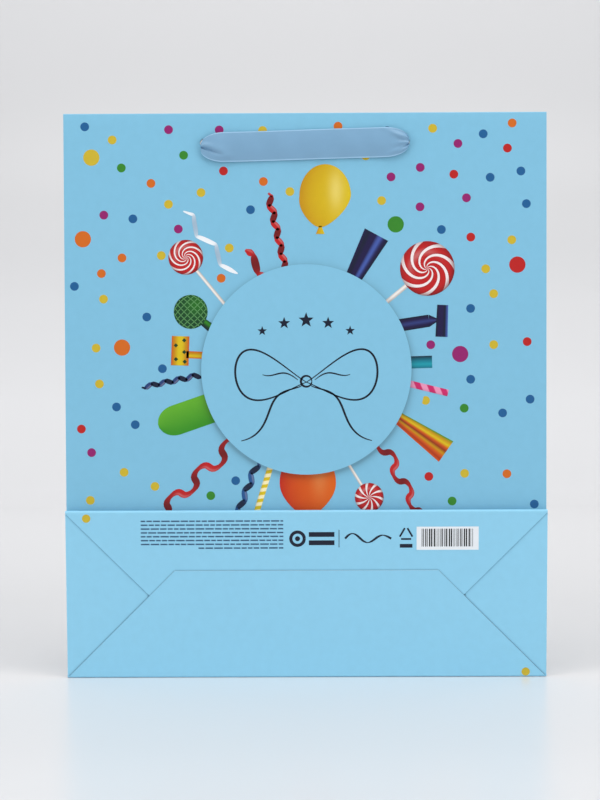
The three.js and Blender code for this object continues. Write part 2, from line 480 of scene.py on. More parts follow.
grey_board = make_grey_board()
for node, material in (
    ("front_hem_card", grey_board), ("back_hem_card", grey_board),
    ("base_card", grey_board), ("side_seam_flap", white_paper),
):
    frame["nodes"][node].data.materials.clear()
    frame["nodes"][node].data.materials.append(material)


# ---------------------------------------------------------------- party print
# The offset print on both wide faces: a plain disc over a wreath of balloons, sweets, horns and
# curled streamers. Every patch of ink is drawn face on in millimetres from the middle of the
# bottom edge, then laid a hair proud of the paper, patches of a higher level on top.
disc_centre, disc_radius = (0.3, 147.8), 50.3
navy = tint(8, 18, 42)
red, dark_red = tint(190, 24, 26), tint(104, 8, 16)
cream = tint(244, 232, 232)


def mixed(a, b, share):
    share = min(max(share, 0.0), 1.0)
    return tuple(p + (q - p) * share for p, q in zip(a, b))


def under_disc(x, z, colour):
    """The disc is printed as if it floated, so ink darkens softly where it goes under its rim."""
    away = math.hypot(x - disc_centre[0], z - disc_centre[1] + 1.2) - disc_radius
    dark = 0.42 * math.exp(-max(away, 0.0) / 1.5)
    return tuple(c * (1 - dark) for c in colour[:3]) + (1.0,)


def fill(plate, outline, middle, shade, level, rings=5):
    """Fills a round-ish outline with rings of ink towards its middle; shade(x, z) gives the colour."""
    def point(i, k):
        x, z = outline[i % len(outline)]
        return (middle[0] + (x - middle[0]) * k, middle[1] + (z - middle[1]) * k)

    for ring in range(rings):
        inner, outer = ring / rings, (ring + 1) / rings
        for i in range(len(outline)):
            corners = [point(i, outer), point(i + 1, outer), point(i + 1, inner), point(i, inner)]
            corners = corners[:3] if ring == 0 else corners
            plate.append((corners, [shade(x, z) for x, z in corners], level))


def band(plate, line, width, shade, level, across=4):
    """A strip of ink along a line; width(t) is its half width and shade(t, s) its colour."""
    last = len(line) - 1
    rows = []
    for i, (x, z) in enumerate(line):
        before, after = line[max(i - 1, 0)], line[min(i + 1, last)]
        dx, dz = after[0] - before[0], after[1] - before[1]
        length = math.hypot(dx, dz)
        half = width(i / last)
        rows.append([
            (x - dz / length * half * s, z + dx / length * half * s) for s in evenly(-1.0, 1.0, across)
        ])
    for i in range(last):
        for j in range(across):
            corners = [rows[i][j], rows[i][j + 1], rows[i + 1][j + 1], rows[i + 1][j]]
            marks = [(i, j), (i, j + 1), (i + 1, j + 1), (i + 1, j)]
            inks = [shade(a / last, 2 * b / across - 1) for a, b in marks]
            plate.append((corners[::-1], [under_disc(*c, k) for c, k in zip(corners, inks)][::-1], level))


def line_between(start, end, count):
    return [
        (start[0] + (end[0] - start[0]) * t, start[1] + (end[1] - start[1]) * t)
        for t in evenly(0.0, 1.0, count)
    ]


def circle(middle, radius, count=40):
    return [
        (middle[0] + radius * math.cos(a), middle[1] + radius * math.sin(a))
        for a in evenly(0.0, 2 * math.pi, count)[:-1]
    ]


def streamer(plate, start, end, swing, turns, half, bright, dark):
    """A curled ribbon: it swings from side to side and shows a dark back every half turn."""
    count = int(turns * 22)
    dx, dz = end[0] - start[0], end[1] - start[1]
    length = math.hypot(dx, dz)
    line = []
    for t in evenly(0.0, 1.0, count):
        off = swing * math.sin(2 * math.pi * turns * t) * (1 - 0.3 * t)
        back = 0.35 * swing * math.sin(4 * math.pi * turns * t)
        line.append((
            start[0] + dx * t - dz / length * off + dx / length * back,
            start[1] + dz * t + dx / length * off + dz / length * back,
        ))

    def width(t):
        taper = min(1.0, 8 * t + 0.3, 8 * (1 - t) + 0.3)
        return half * taper * (0.5 + 0.5 * abs(math.cos(2 * math.pi * turns * t)))

    def shade(t, s):
        facing = math.cos(2 * math.pi * turns * t)
        body = mixed(dark, bright, 0.62 + 0.55 * facing)
        gleam = max(0.0, 1 - abs(s - 0.35) * 3) * max(facing, 0.0) * 0.28
        return mixed(body, cream, gleam)

    band(plate, line, width, shade, 4)


def stick(plate, start, end, half):
    def shade(t, s):
        return mixed(tint(250, 246, 240), tint(196, 184, 176), abs(s + 0.2))

    band(plate, line_between(start, end, 6), lambda t: half, shade, 3, across=6)


def swirl_sweet(plate, middle, radius, arms, twist, pointing):
    """A flat boiled sweet on a stick, its red and cream arms wound round the middle."""
    stick(plate, middle, pointing, radius * 0.06 + 0.25)
    around, rings = arms * 16, 18
    for ring in range(rings):
        for step in range(around):
            inner, outer = ring / rings, (ring + 1) / rings
            a, b = 2 * math.pi * step / around, 2 * math.pi * (step + 1) / around
            corners = [(outer, a), (outer, b), (inner, b), (inner, a)][: 3 if ring == 0 else 4]
            in_arm = (step % 16) / 15
            base = mixed(dark_red, red, 0.55 + 0.9 * math.sin(math.pi * in_arm * 1.35))
            base = cream if in_arm > 0.72 else base
            points, inks = [], []
            for r, t in corners:
                turned = t - twist * r ** 0.6
                points.append((
                    middle[0] + r * radius * math.cos(turned), middle[1] + r * radius * math.sin(turned),
                ))
                lit = 0.5 + 0.5 * math.cos(turned - 2.2)
                edge = mixed(base, dark_red, 0.8 * max(0.0, r - 0.8) / 0.2 * (1.1 - lit * 0.6))
                inks.append(mixed(edge, cream, 0.18 * max(0.0, 1 - abs(r - 0.62) * 6) * lit ** 3))
            plate.append((points, inks, 5))


def balloon(plate, middle, width, height, bright, deep, knot=True, lean=0.0, shine=0.4):
    """A blown-up balloon, fuller at the top, with a soft gleam and a small tied neck."""
    outline = []
    for a in evenly(0.0, 2 * math.pi, 56)[:-1]:
        drop = max(0.0, -math.sin(a))
        x = width / 2 * math.cos(a) * (1 - 0.34 * drop ** 2)
        outline.append((middle[0] + x + lean * drop * 2, middle[1] + height / 2 * math.sin(a)))

    def shade(x, z):
        u, v = (x - middle[0]) / (width / 2), (z - middle[1]) / (height / 2)
        body = mixed(bright, deep, 1.05 * (0.5 - 0.45 * u * 0.9) * (0.7 + 0.5 * (u * u + v * v)) - 0.1)
        gleam = math.exp(-((u - 0.42) ** 2 * 14 + (v - 0.18) ** 2 * 3.2))
        return under_disc(x, z, mixed(body, tint(250, 236, 150), shine * gleam))

    fill(plate, outline, middle, shade, 5, rings=9)
    if knot:
        low = middle[1] - height / 2
        neck = [(middle[0] + lean * 2, low + 0.6), (middle[0] + lean * 2, low - 3.2)]
        band(plate, neck, lambda t: 0.6 + 1.5 * t * t, lambda t, s: mixed(deep, bright, 0.5 + s / 2), 5)


def horn(plate, start, end, from_half, to_half, stripes, level=4):
    """A party horn or tube seen from its side: ink runs across it as on a shiny cone."""
    def shade(t, s):
        place = (s + 1) / 2 * (len(stripes) - 1)
        low = min(int(place), len(stripes) - 2)
        return mixed(stripes[low], stripes[low + 1], place - low)

    def width(t):
        return from_half + (to_half - from_half) * t

    band(plate, line_between(start, end, 10), width, shade, level, across=16)


def straw(plate, start, end, half, first, second, stripes):
    """A paper straw with a slanting stripe wound round it."""
    def shade(t, s):
        wave = math.sin(2 * math.pi * (stripes * t + 0.18 * s))
        return mixed(mixed(first, second, 0.5 + 3 * wave), navy, 0.25 * max(0.0, -s) ** 2)

    band(plate, line_between(start, end, 90), lambda t: half, shade, 4, across=6)


def wreath(plate):
    """The things round the disc, from the top clockwise."""
    white, silver = tint(240, 244, 248), tint(150, 178, 200)
    purple, violet = tint(24, 14, 66), tint(70, 96, 176)
    green, leaf = tint(8, 62, 30), tint(52, 142, 26)
    gold, amber, orange = tint(218, 190, 18), tint(196, 142, 8), tint(206, 84, 14)
    balloon(plate, (9.6, 230.6), 24.6, 30.0, gold, amber, lean=-1.2)
    sheen = [purple, navy, purple, purple, violet, purple, navy]
    horn(plate, (21.0, 188.0), (34.0, 212.0), 3.6, 6.3, sheen[::-1])
    swirl_sweet(plate, (58.2, 195.8), 13.0, 7, 3.4, (34.0, 176.0))
    tube = [navy, purple, mixed(purple, violet, 0.35), purple, navy]
    horn(plate, (44.0, 168.6), (59.0, 170.9), 3.0, 2.9, tube)
    horn(plate, (59.0, 170.9), (62.6, 171.2), 2.9, 0.9, tube)
    horn(plate, (64.9, 163.2), (65.5, 178.4), 2.9, 2.6, [violet, navy, purple, purple, navy], level=5)
    teal = tint(10, 112, 132)
    horn(plate, (49.0, 151.0), (60.4, 151.3), 2.9, 2.9, [teal, tint(24, 156, 172), teal, navy])
    straw(plate, (49.0, 141.0), (68.0, 136.3), 1.6, tint(206, 36, 104), tint(236, 150, 186), 3)
    stripes = [leaf, amber, gold, orange, tint(140, 44, 10), amber, orange, tint(170, 50, 10), orange]
    horn(plate, (44.0, 124.6), (67.0, 108.3), 2.9, 6.0, stripes[::-1])
    streamer(plate, (35.0, 115.0), (55.5, 76.0), -2.7, 2.8, 1.5, red, dark_red)
    swirl_sweet(plate, (30.2, 86.5), 6.9, 10, 0.7, (20.0, 103.0))
    balloon(
        plate, (0.8, 93.5), 27.0, 32.0, tint(222, 98, 8), tint(192, 34, 8), knot=False, shine=0.12,
    )
    straw(plate, (-17.0, 101.5), (-25.5, 74.0), 1.4, gold, tint(252, 240, 190), 8)
    streamer(plate, (-23.0, 104.0), (-34.0, 76.0), 1.7, 3.4, 1.4, tint(34, 84, 140), navy)
    streamer(plate, (-33.0, 114.0), (-73.0, 76.0), -3.4, 3.0, 1.7, red, dark_red)
    capsule = line_between((-40.0, 131.5), (-70.5, 121.0), 32)
    band(
        plate, capsule, lambda t: 7.2 * math.sqrt(max(0.02, 1 - max(0.0, (t - 0.72) / 0.28) ** 2)),
        lambda t, s: mixed(leaf, tint(96, 172, 40), 0.5 - 0.6 * s), 4, across=10,
    )
    streamer(plate, (-49.0, 145.6), (-78.5, 139.6), 1.5, 4.5, 1.2, tint(36, 62, 116), navy)
    horn(plate, (-49.0, 154.8), (-57.0, 155.2), 1.7, 1.7, [orange, amber, gold, orange])
    horn(plate, (-60.2, 150.0), (-59.7, 164.0), 4.2, 4.2, [orange, amber, gold, gold, amber, orange])
    for x, z in ((-62.0, 153.0), (-58.0, 156.4), (-62.0, 159.6), (-58.0, 162.0), (-57.8, 151.8)):
        fill(plate, circle((x, z), 1.05, 4), (x, z), lambda *p: green, 6, rings=1)
    horn(plate, (-44.5, 167.3), (-50.4, 172.0), 2.2, 1.7, [green, leaf, green, navy])
    shaker(plate, (-54.8, 175.6), 8.1, green, leaf)
    swirl_sweet(plate, (-57.0, 201.6), 8.3, 7, 4.2, (-36.0, 176.0))
    streamer(plate, (-28.6, 205.0), (-18.0, 190.0), 1.8, 1.1, 1.9, red, dark_red)
    streamer(plate, (-58.0, 223.5), (-34.0, 193.0), 2.8, 2.2, 1.1, white, silver)
    streamer(plate, (-17.5, 232.0), (-9.0, 193.5), 1.7, 5.0, 1.5, red, dark_red)


def shaker(plate, middle, radius, deep, bright):
    """A round shaker under a net of pale cord."""
    def shade(x, z):
        u, v = (x - middle[0]) / radius, (z - middle[1]) / radius
        return mixed(deep, bright, 0.45 * math.exp(-((u - 0.3) ** 2 + (v - 0.4) ** 2) * 3))

    fill(plate, circle(middle, radius, 48), middle, shade, 5, rings=7)
    for lean in (1, -1):
        for offset in (-0.75, -0.5, -0.25, 0.0, 0.25, 0.5, 0.75):
            half = math.sqrt(1 - offset ** 2) * radius * 0.98
            bow = 0.35 * offset * radius
            line = []
            for t in evenly(-1.0, 1.0, 14):
                along, off = half * t, offset * radius + bow * (1 - t * t) * 0.35
                line.append((
                    middle[0] + (along - off) * math.sqrt(0.5),
                    middle[1] + lean * (along + off) * math.sqrt(0.5),
                ))
            band(plate, line, lambda t: 0.17, lambda t, s: tint(96, 156, 92), 6, across=1)


def bow_drawing(plate):
    """In the middle of the disc, a bow drawn in one thin line, with stars above. It isn't lettering."""
    cx, cz = disc_centre[0], disc_centre[1] - 6.0

    def pen(line, thick=0.42):
        band(
            plate, line, lambda t: thick * (0.45 + 0.75 * math.sin(math.pi * t) ** 0.7),
            lambda t, s: navy, 8, across=2,
        )

    for side in (-1, 1):
        loop = []
        for t in evenly(0.0, 1.0, 70):
            a = math.pi * t
            reach = 34.0 * math.sin(a) ** 0.9
            loop.append((cx + side * reach, cz + 12.0 * math.sin(2 * a) + 5.0 * math.sin(a)))
        pen(loop)
        fold = []
        for t in evenly(0.0, 1.0, 24):
            fold.append((cx + side * (4 + 17 * t), cz + 1.0 + 4.4 * t + 1.8 * math.sin(5 * t)))
        pen(fold, 0.3)
        tail = []
        for t in evenly(0.0, 1.0, 50):
            drop = 1.5 + 23 * t ** 0.8 - 4.0 * math.sin(5.2 * t)
            tail.append((cx + side * (2 + 30 * t + 2.5 * math.sin(6.0 * t)), cz - drop))
        pen(tail)
    knot = circle((cx, cz + 0.4), 2.6, 36)
    pen(knot + knot[:1], 0.45)
    stars = ((-21.0, 24.5, 2.4), (-10.5, 28.2, 3.0), (0.0, 29.6, 3.8), (10.5, 28.2, 3.0), (21.0, 24.5, 2.4))
    for x, z, size in stars:
        star = []
        for i in range(10):
            a, r = math.pi / 2 + math.pi * i / 5, size * (1.0 if i % 2 == 0 else 0.42)
            star.append((cx + x + r * math.cos(a), cz + z + r * math.sin(a)))
        fill(plate, star, (cx + x, cz + z), lambda *p: navy, 8, rings=1)


def disc_print(plate):
    """The disc itself, with a soft shadow printed round it."""
    rim = circle(disc_centre, disc_radius, 120)
    shadow = circle((disc_centre[0], disc_centre[1] - 1.0), disc_radius + 7.0, 120)
    for ring in range(8):
        for i in range(len(rim)):
            corners = []
            for k, j in ((ring + 1, i), (ring + 1, i + 1), (ring, i + 1), (ring, i)):
                inner, outer = rim[j % 120], shadow[j % 120]
                corners.append(tuple(a + (b - a) * k / 8 for a, b in zip(inner, outer)))
            plate.append((corners, [under_disc(x, z, bag_blue) for x, z in corners], 1))
    fill(plate, rim, disc_centre, lambda x, z: mixed(bag_blue, base_blue_painted_light, 0.12), 7, rings=3)


def lay_print(name, body, plate, place):
    """Lays a plate of ink patches on a face; place gives a point from x, z and the lift off the paper."""
    work = bmesh.new()
    ink = work.loops.layers.float_color.new("ink")
    for corners, inks, level in plate:
        lift = 0.00002 + 0.000012 * level
        verts = [work.verts.new(place(x * 0.001, z * 0.001, lift)) for x, z in corners]
        face = work.faces.new(verts)
        for loop, colour in zip(face.loops, inks):
            loop[ink] = colour
    bmesh.ops.remove_doubles(work, verts=work.verts, dist=0.000002)
    mesh = bpy.data.meshes.new(name)
    work.to_mesh(mesh)
    work.free()
    mesh.materials.append(printed_paper)
    return finish_piece(name, mesh, body)


def on_front(x, z, lift):
    return (x, front_face - lift, z)


def on_back(x, z, lift):
    return (-x, back_face + lift, z)


party_plate = []
disc_print(party_plate)
wreath(party_plate)
bow_drawing(party_plate)
lay_print("front_print", "front", party_plate, on_front)
lay_print("back_print", "back", party_plate, on_back)


# ---------------------------------------------------------------- confetti
# Round spots of ink are scattered over the wide faces, the foot and the gussets, a few of them
# nearly twice the size. They keep clear of one another, of the disc and of the wreath.
def confetti_tree():
    """Scatters flat spots over a mesh and gives each an ink, a size and the print's material."""
    tree = bpy.data.node_groups.new("confetti", "GeometryNodeTree")
    face = tree.interface
    face.new_socket("Geometry", in_out="INPUT", socket_type="NodeSocketGeometry")
    for title in ("Spacing", "Spot Radius", "Large Radius", "Clear Radius"):
        face.new_socket(title, in_out="INPUT", socket_type="NodeSocketFloat")
    face.new_socket("Clear Centre", in_out="INPUT", socket_type="NodeSocketVector")
    face.new_socket("Seed", in_out="INPUT", socket_type="NodeSocketInt")
    face.new_socket("Geometry", in_out="OUTPUT", socket_type="NodeSocketGeometry")
    nodes, links = tree.nodes, tree.links
    given, out = nodes.new("NodeGroupInput"), nodes.new("NodeGroupOutput")
    scatter = nodes.new("GeometryNodeDistributePointsOnFaces")
    scatter.distribute_method = "POISSON"
    scatter.inputs["Density Max"].default_value = 9000.0
    links.new(given.outputs["Geometry"], scatter.inputs["Mesh"])
    links.new(given.outputs["Spacing"], scatter.inputs["Distance Min"])
    links.new(given.outputs["Seed"], scatter.inputs["Seed"])
    place = nodes.new("GeometryNodeInputPosition")
    away = nodes.new("ShaderNodeVectorMath")
    away.operation = "DISTANCE"
    links.new(place.outputs[0], away.inputs[0])
    links.new(given.outputs["Clear Centre"], away.inputs[1])
    close = nodes.new("ShaderNodeMath")
    close.operation = "LESS_THAN"
    links.new(away.outputs["Value"], close.inputs[0])
    links.new(given.outputs["Clear Radius"], close.inputs[1])
    clear = nodes.new("GeometryNodeDeleteGeometry")
    clear.domain = "POINT"
    links.new(scatter.outputs["Points"], clear.inputs["Geometry"])
    links.new(close.outputs[0], clear.inputs["Selection"])
    chance = nodes.new("FunctionNodeRandomValue")
    chance.data_type = "FLOAT"
    links.new(given.outputs["Seed"], chance.inputs["Seed"])
    rare = nodes.new("ShaderNodeMath")
    rare.operation = "GREATER_THAN"
    rare.inputs[1].default_value = 0.9
    links.new(chance.outputs["Value"], rare.inputs[0])
    size = nodes.new("ShaderNodeMix")
    size.data_type = "FLOAT"
    links.new(rare.outputs[0], size.inputs["Factor"])
    links.new(given.outputs["Spot Radius"], size.inputs["A"])
    links.new(given.outputs["Large Radius"], size.inputs["B"])
    spot = nodes.new("GeometryNodeMeshCircle")
    spot.fill_type = "NGON"
    spot.inputs["Vertices"].default_value = 26
    spot.inputs["Radius"].default_value = 1.0
    stamp = nodes.new("GeometryNodeInstanceOnPoints")
    links.new(clear.outputs["Geometry"], stamp.inputs["Points"])
    links.new(spot.outputs["Mesh"], stamp.inputs["Instance"])
    links.new(size.outputs["Result"], stamp.inputs["Scale"])
    pick = nodes.new("FunctionNodeRandomValue")
    pick.data_type = "INT"
    pick.inputs[4].default_value = 0
    pick.inputs[5].default_value = 9
    links.new(given.outputs["Seed"], pick.inputs["Seed"])
    inks = nodes.new("GeometryNodeIndexSwitch")
    inks.data_type = "RGBA"
    yellow, blue, magenta = tint(204, 178, 44), tint(24, 92, 146), tint(146, 24, 104)
    palette = [
        yellow, blue, magenta, tint(186, 26, 24), yellow,
        tint(210, 104, 22), blue, magenta, tint(52, 132, 36), yellow,
    ]
    while len(inks.index_switch_items) < len(palette):
        inks.index_switch_items.new()
    links.new(pick.outputs[2], inks.inputs["Index"])
    for i, colour in enumerate(palette):
        inks.inputs[i + 1].default_value = colour
    mark = nodes.new("GeometryNodeStoreNamedAttribute")
    mark.data_type = "FLOAT_COLOR"
    mark.domain = "INSTANCE"
    mark.inputs["Name"].default_value = "ink"
    links.new(stamp.outputs["Instances"], mark.inputs["Geometry"])
    links.new(inks.outputs[0], mark.inputs["Value"])
    real = nodes.new("GeometryNodeRealizeInstances")
    links.new(mark.outputs["Geometry"], real.inputs["Geometry"])
    coat = nodes.new("GeometryNodeSetMaterial")
    coat.inputs["Material"].default_value = printed_paper
    links.new(real.outputs["Geometry"], coat.inputs["Geometry"])
    links.new(coat.outputs["Geometry"], out.inputs["Geometry"])
    return tree


scatter_confetti = confetti_tree()

# Where the wreath is printed, so that no spot touches it
wreath_spots = KDTree(sum(len(corners) for corners, _, level in party_plate if level > 1))
for corners, _, level in party_plate:
    if level > 1:
        for x, z in corners:
            wreath_spots.insert((x * 0.001, z * 0.001, 0.0), 0)
wreath_spots.balance()
keep_off = 0.0034
disc_clear = 0.0545


def lay_confetti(name, body, outline, place, seed, clear_radius=0.0):
    """Scatters confetti inside a flat outline given in metres, and lays it on a face. With a clear
    radius, spots inside it or too near the wreath are left out."""
    work = bmesh.new()
    work.faces.new([work.verts.new((x, z, 0.0)) for x, z in outline])
    mesh = bpy.data.meshes.new(name)
    work.to_mesh(mesh)
    work.free()
    field = bpy.data.objects.new(name + "_field", mesh)
    bpy.context.collection.objects.link(field)
    modifier = field.modifiers.new("confetti", "NODES")
    modifier.node_group = scatter_confetti
    settings = {
        "Spacing": 0.0118, "Spot Radius": 0.0021, "Large Radius": 0.0039, "Clear Radius": clear_radius,
        "Clear Centre": (disc_centre[0] * 0.001, disc_centre[1] * 0.001, 0.0), "Seed": seed,
    }
    sockets = {s.name: s.identifier for s in scatter_confetti.interface.items_tree if s.in_out == "INPUT"}
    for title, value in settings.items():
        modifier[sockets[title]] = value
    bpy.context.view_layer.update()
    depsgraph = bpy.context.evaluated_depsgraph_get()
    spots = bpy.data.meshes.new_from_object(field.evaluated_get(depsgraph))
    bpy.data.objects.remove(field)
    spots.name = name
    if clear_radius:
        work = bmesh.new()
        work.from_mesh(spots)
        touching = []
        for spot in work.faces:
            centre = spot.calc_center_median()
            if wreath_spots.find(centre)[2] < keep_off:
                touching += spot.verts
        bmesh.ops.delete(work, geom=touching, context="VERTS")
        work.to_mesh(spots)
        work.free()
    for vertex in spots.vertices:
        vertex.co = place(vertex.co.x, vertex.co.y, 0.00001)
    spots.update()
    return finish_piece(name, spots, body)


edge = half_width - 0.004
wide_field = [(-edge, 0.044), (edge, 0.044), (edge, bag_top - 0.005), (-edge, bag_top - 0.005)]
lay_confetti("front_confetti", "front", wide_field, on_front, 7, disc_clear)
back_field = [(-edge, 0.005), (edge, 0.005), (edge, bag_top - 0.005), (-edge, bag_top - 0.005)]
lay_confetti("back_confetti", "back", back_field, on_back, 7, disc_clear)


def on_foot(x, z, lift):
    return base_place(foot_depth, -1)(-x, z, paper + lift)


foot_field = [(-edge, 0.044), (edge, 0.044), (edge, 0.0765), (-edge, 0.0765)]
lay_confetti("foot_confetti", "foot", foot_field, on_foot, 31)

for side, word in ((-1, "left"), (1, "right")):
    for half, sign in (("rear", -1), ("front", 1)):
        low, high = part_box(f"gusset_{half}_{word}")
        inset = 0.004
        field = [
            (low.x + inset, 0.046), (high.x - inset, 0.046),
            (high.x - inset, bag_top - 0.005), (low.x + inset, bag_top - 0.005),
        ]
        printed_y = low.y if sign < 0 else high.y

        def on_gusset(x, z, lift, printed_y=printed_y, sign=sign):
            return (x, printed_y + sign * lift, z)

        seed = 20 + 2 * side + sign
        name = f"{half}_gusset_confetti_{word}"
        lay_confetti(name, f"{half}_gusset_{word}", field, on_gusset, seed)


# ---------------------------------------------------------------- information strip
# A line of small marks printed along the front flap. Plain rules stand in the place of small
# print, and the marks are a ring, a wave, a triangle and a box of bars with no figures.
def strip_print(plate):
    slate = tint(52, 88, 122)

    def mark(line, half, ink=navy):
        band(plate, line, lambda t: half, lambda t, s: ink, 2, across=1)

    print_top, rule_step = 76.0, 1.86
    for row in range(8):
        z = print_top - row * rule_step
        left = -51.5 if row == 7 else -79.0
        dash = 0
        while left < -11.0:
            right = min(left + 2.2 + 2.0 * math.sin(7.1 * row + 2.7 * dash) ** 2, -11.0)
            mark([(left, z), (right, z)], 0.33, slate)
            left = right + 0.55
            dash += 1
    ring = circle((-4.2, 67.4), 3.2, 36)
    mark(ring + ring[:1], 0.75)
    fill(plate, circle((-4.2, 67.4), 1.2, 16), (-4.2, 67.4), lambda *p: navy, 2, rings=1)
    for z in (69.4, 65.4):
        mark([(1.2, z), (13.4, z)], 1.15)
    mark([(15.6, 63.2), (15.6, 71.6)], 0.16)
    wave = []
    for t in evenly(0.0, 1.0, 60):
        wave.append((18.5 + 22.0 * t, 67.4 + 2.6 * math.sin(9.5 * t) * (1 - 0.5 * t)))
    band(plate, wave, lambda t: 0.22 + 0.3 * abs(math.cos(9.5 * t)), lambda t, s: navy, 2, across=1)
    for i in range(3):
        a = math.pi / 2 + 2 * math.pi * i / 3
        b = a + 2 * math.pi / 3
        start = (47.6 + 3.2 * math.cos(a + 0.2), 69.2 + 3.2 * math.sin(a + 0.2))
        end = (47.6 + 3.2 * math.cos(b - 0.2), 69.2 + 3.2 * math.sin(b - 0.2))
        mark([start, end], 0.42)
    mark([(44.6, 63.8), (50.6, 63.8)], 0.9)
    box = [(52.6, 61.8), (82.2, 61.8), (82.2, 73.0), (52.6, 73.0)]
    plate.append((box, [tint(236, 240, 244)] * 4, 1))
    # Bars of one, two or three widths, by a rule that repeats nothing readable
    place, step, bar, bar_black = 55.0, 0.45, 0, tint(24, 26, 32)
    while place < 79.6:
        thick = step * (1 + (bar * bar + bar // 3) % 3) * 0.5
        mark([(place + thick / 2, 63.4), (place + thick / 2, 72.0)], thick / 2, bar_black)
        place += thick + step * (1 + (bar * 7) % 2) * 0.7
        bar += 1


def on_front_flap(x, z, lift):
    return base_place(front_flap_depth)(x, z, paper + lift)


def on_rear_flap(x, z, lift):
    return base_place(rear_flap_depth)(x, z, paper + lift)


def step_shadow_line(plate, start, end, inwards):
    """Painted shadow: a strip of ink darkened beside a cut edge, standing in for the shade in the step
    there; inwards is the side that the step is on.
    """
    wide = 0.95
    dark = mixed(base_blue_painted_light, tint(40, 100, 140), 0.62)
    across = [(0.0, 1.0), (0.16, 0.75), (0.4, 0.28), (1.0, 0.0)]
    across = [(share * wide, mixed(base_blue_painted_light, dark, depth)) for share, depth in across]
    for (near, near_ink), (far, far_ink) in zip(across, across[1:]):
        corners = [
            (x + inwards[0] * off, z + inwards[1] * off)
            for (x, z), off in ((start, near), (end, near), (end, far), (start, far))
        ]
        inks = [near_ink, near_ink, far_ink, far_ink]
        turn = sum(
            a[0] * b[1] - b[0] * a[1] for a, b in zip(corners, corners[1:] + corners[:1])
        )
        if turn < 0:
            corners, inks = corners[::-1], inks[::-1]
        plate.append((corners, inks, 1))


flap_print_and_shadow_plate = []
strip_print(flap_print_and_shadow_plate)
half_mm, flap_mm, top_mm = half_width * 1000, flap_reach * 1000, base_top * 1000
cross_mm = top_mm / 2
# Painted shadow beside the rear flap's upper edge and diagonals, laid on the front flap with its print
step_shadow_line(
    flap_print_and_shadow_plate, (flap_mm - half_mm, flap_mm + 0.05), (half_mm - flap_mm, flap_mm + 0.05), (0.0, 1.0)
)
for side in (-1, 1):
    corner = (side * (half_mm - flap_mm), flap_mm)
    crossing = (side * (half_mm - cross_mm), cross_mm)
    slope = (side * math.sqrt(0.5), math.sqrt(0.5))
    step_shadow_line(flap_print_and_shadow_plate, corner, crossing, slope)
lay_print("front_flap_print_and_shadow", "base", flap_print_and_shadow_plate, on_front_flap)


def on_end_flap(x, z, lift):
    return base_place(end_flap_depth)(x, z, paper + lift)


# Painted shadows on the end flaps, beside the diagonal edges of the front and rear flaps
end_flap_shadow_plate = []
for side in (-1, 1):
    crossing = (side * (half_mm - cross_mm), cross_mm)
    lower, upper = (side * (half_mm - 0.4), 0.4), (side * (half_mm - 0.4), top_mm - 0.4)
    step_shadow_line(end_flap_shadow_plate, crossing, lower, (side * math.sqrt(0.5), math.sqrt(0.5)))
    step_shadow_line(end_flap_shadow_plate, crossing, upper, (side * math.sqrt(0.5), -math.sqrt(0.5)))
lay_print("end_flap_painted_shadow", "base", end_flap_shadow_plate, on_end_flap)
# The overlap of the print leaves one spot at each far corner of the base
for name, x, z, place in (
    ("corner_spot_left", -105.0, 77.4, on_front_flap), ("corner_spot_right", 105.0, 2.6, on_rear_flap),
):
    spot_plate = []
    fill(spot_plate, circle((x, z), 2.0, 26), (x, z), lambda *p: tint(204, 178, 44), 2, rings=1)
    lay_print(name, "base", spot_plate, place)


# ---------------------------------------------------------------- satin ribbon
# Both handles are 15 mm polyester satin, a pale grey blue: smooth, with a soft sheen, fine
# cross ribs and a slightly raised edge thread along both sides.
def make_satin():
    material, nodes, links, shader = new_material("satin_ribbon")
    run = nodes.new("ShaderNodeUVMap")
    run.uv_map = "weave"
    parts = nodes.new("ShaderNodeSeparateXYZ")
    links.new(run.outputs["UV"], parts.inputs["Vector"])
    along, across = parts.outputs["X"], parts.outputs["Y"]

    def wave(value, turns_per_mm):
        scaled = nodes.new("ShaderNodeMath")
        scaled.operation = "MULTIPLY"
        scaled.inputs[1].default_value = turns_per_mm * 2 * math.pi
        links.new(value, scaled.inputs[0])
        sine = nodes.new("ShaderNodeMath")
        sine.operation = "SINE"
        links.new(scaled.outputs["Value"], sine.inputs[0])
        return sine.outputs["Value"]

    # The across value runs from -1 to 1, so its size nears 1 at the edge threads
    size = nodes.new("ShaderNodeMath")
    size.operation = "ABSOLUTE"
    links.new(across, size.inputs[0])
    edge_thread_and_highlight = nodes.new("ShaderNodeMapRange")
    edge_thread_and_highlight.interpolation_type = "SMOOTHSTEP"
    edge_thread_and_highlight.inputs["From Min"].default_value = 0.9
    edge_thread_and_highlight.inputs["From Max"].default_value = 0.97
    links.new(size.outputs["Value"], edge_thread_and_highlight.inputs["Value"])
    # The edge threads are a paler blue, partly from their own weave and partly as a painted highlight where
    # the raised threads catch the light
    shade = nodes.new("ShaderNodeMix")
    shade.data_type = "RGBA"
    shade.inputs["A"].default_value = tint(122, 165, 197)
    shade.inputs["B"].default_value = tint(158, 200, 230)
    links.new(edge_thread_and_highlight.outputs["Result"], shade.inputs["Factor"])
    slub = spread(nodes, links, add_noise(nodes, links, 90.0, 3.0), 0.93, 1.05)
    links.new(multiply_colour(nodes, links, shade.outputs["Result"], slub), shader.inputs["Base Color"])
    gloss = spread(nodes, links, add_noise(nodes, links, 300.0, 2.0), 0.3, 0.42)
    links.new(gloss, shader.inputs["Roughness"])
    shader.inputs["Anisotropic"].default_value = 0.55
    shader.inputs["Sheen Weight"].default_value = 0.25
    shader.inputs["Sheen Roughness"].default_value = 0.35
    rib = add_bump(nodes, links, wave(along, 1.9), 0.00002, 0.35)
    warp = add_bump(nodes, links, wave(across, 26.0), 0.00001, 0.25, rib)
    raised = add_bump(nodes, links, edge_thread_and_highlight.outputs["Result"], 0.0001, 0.6, warp)
    links.new(raised, shader.inputs["Normal"])
    return material


satin = make_satin()
ribbon_half = 0.0071
ribbon_sheet = 0.00022


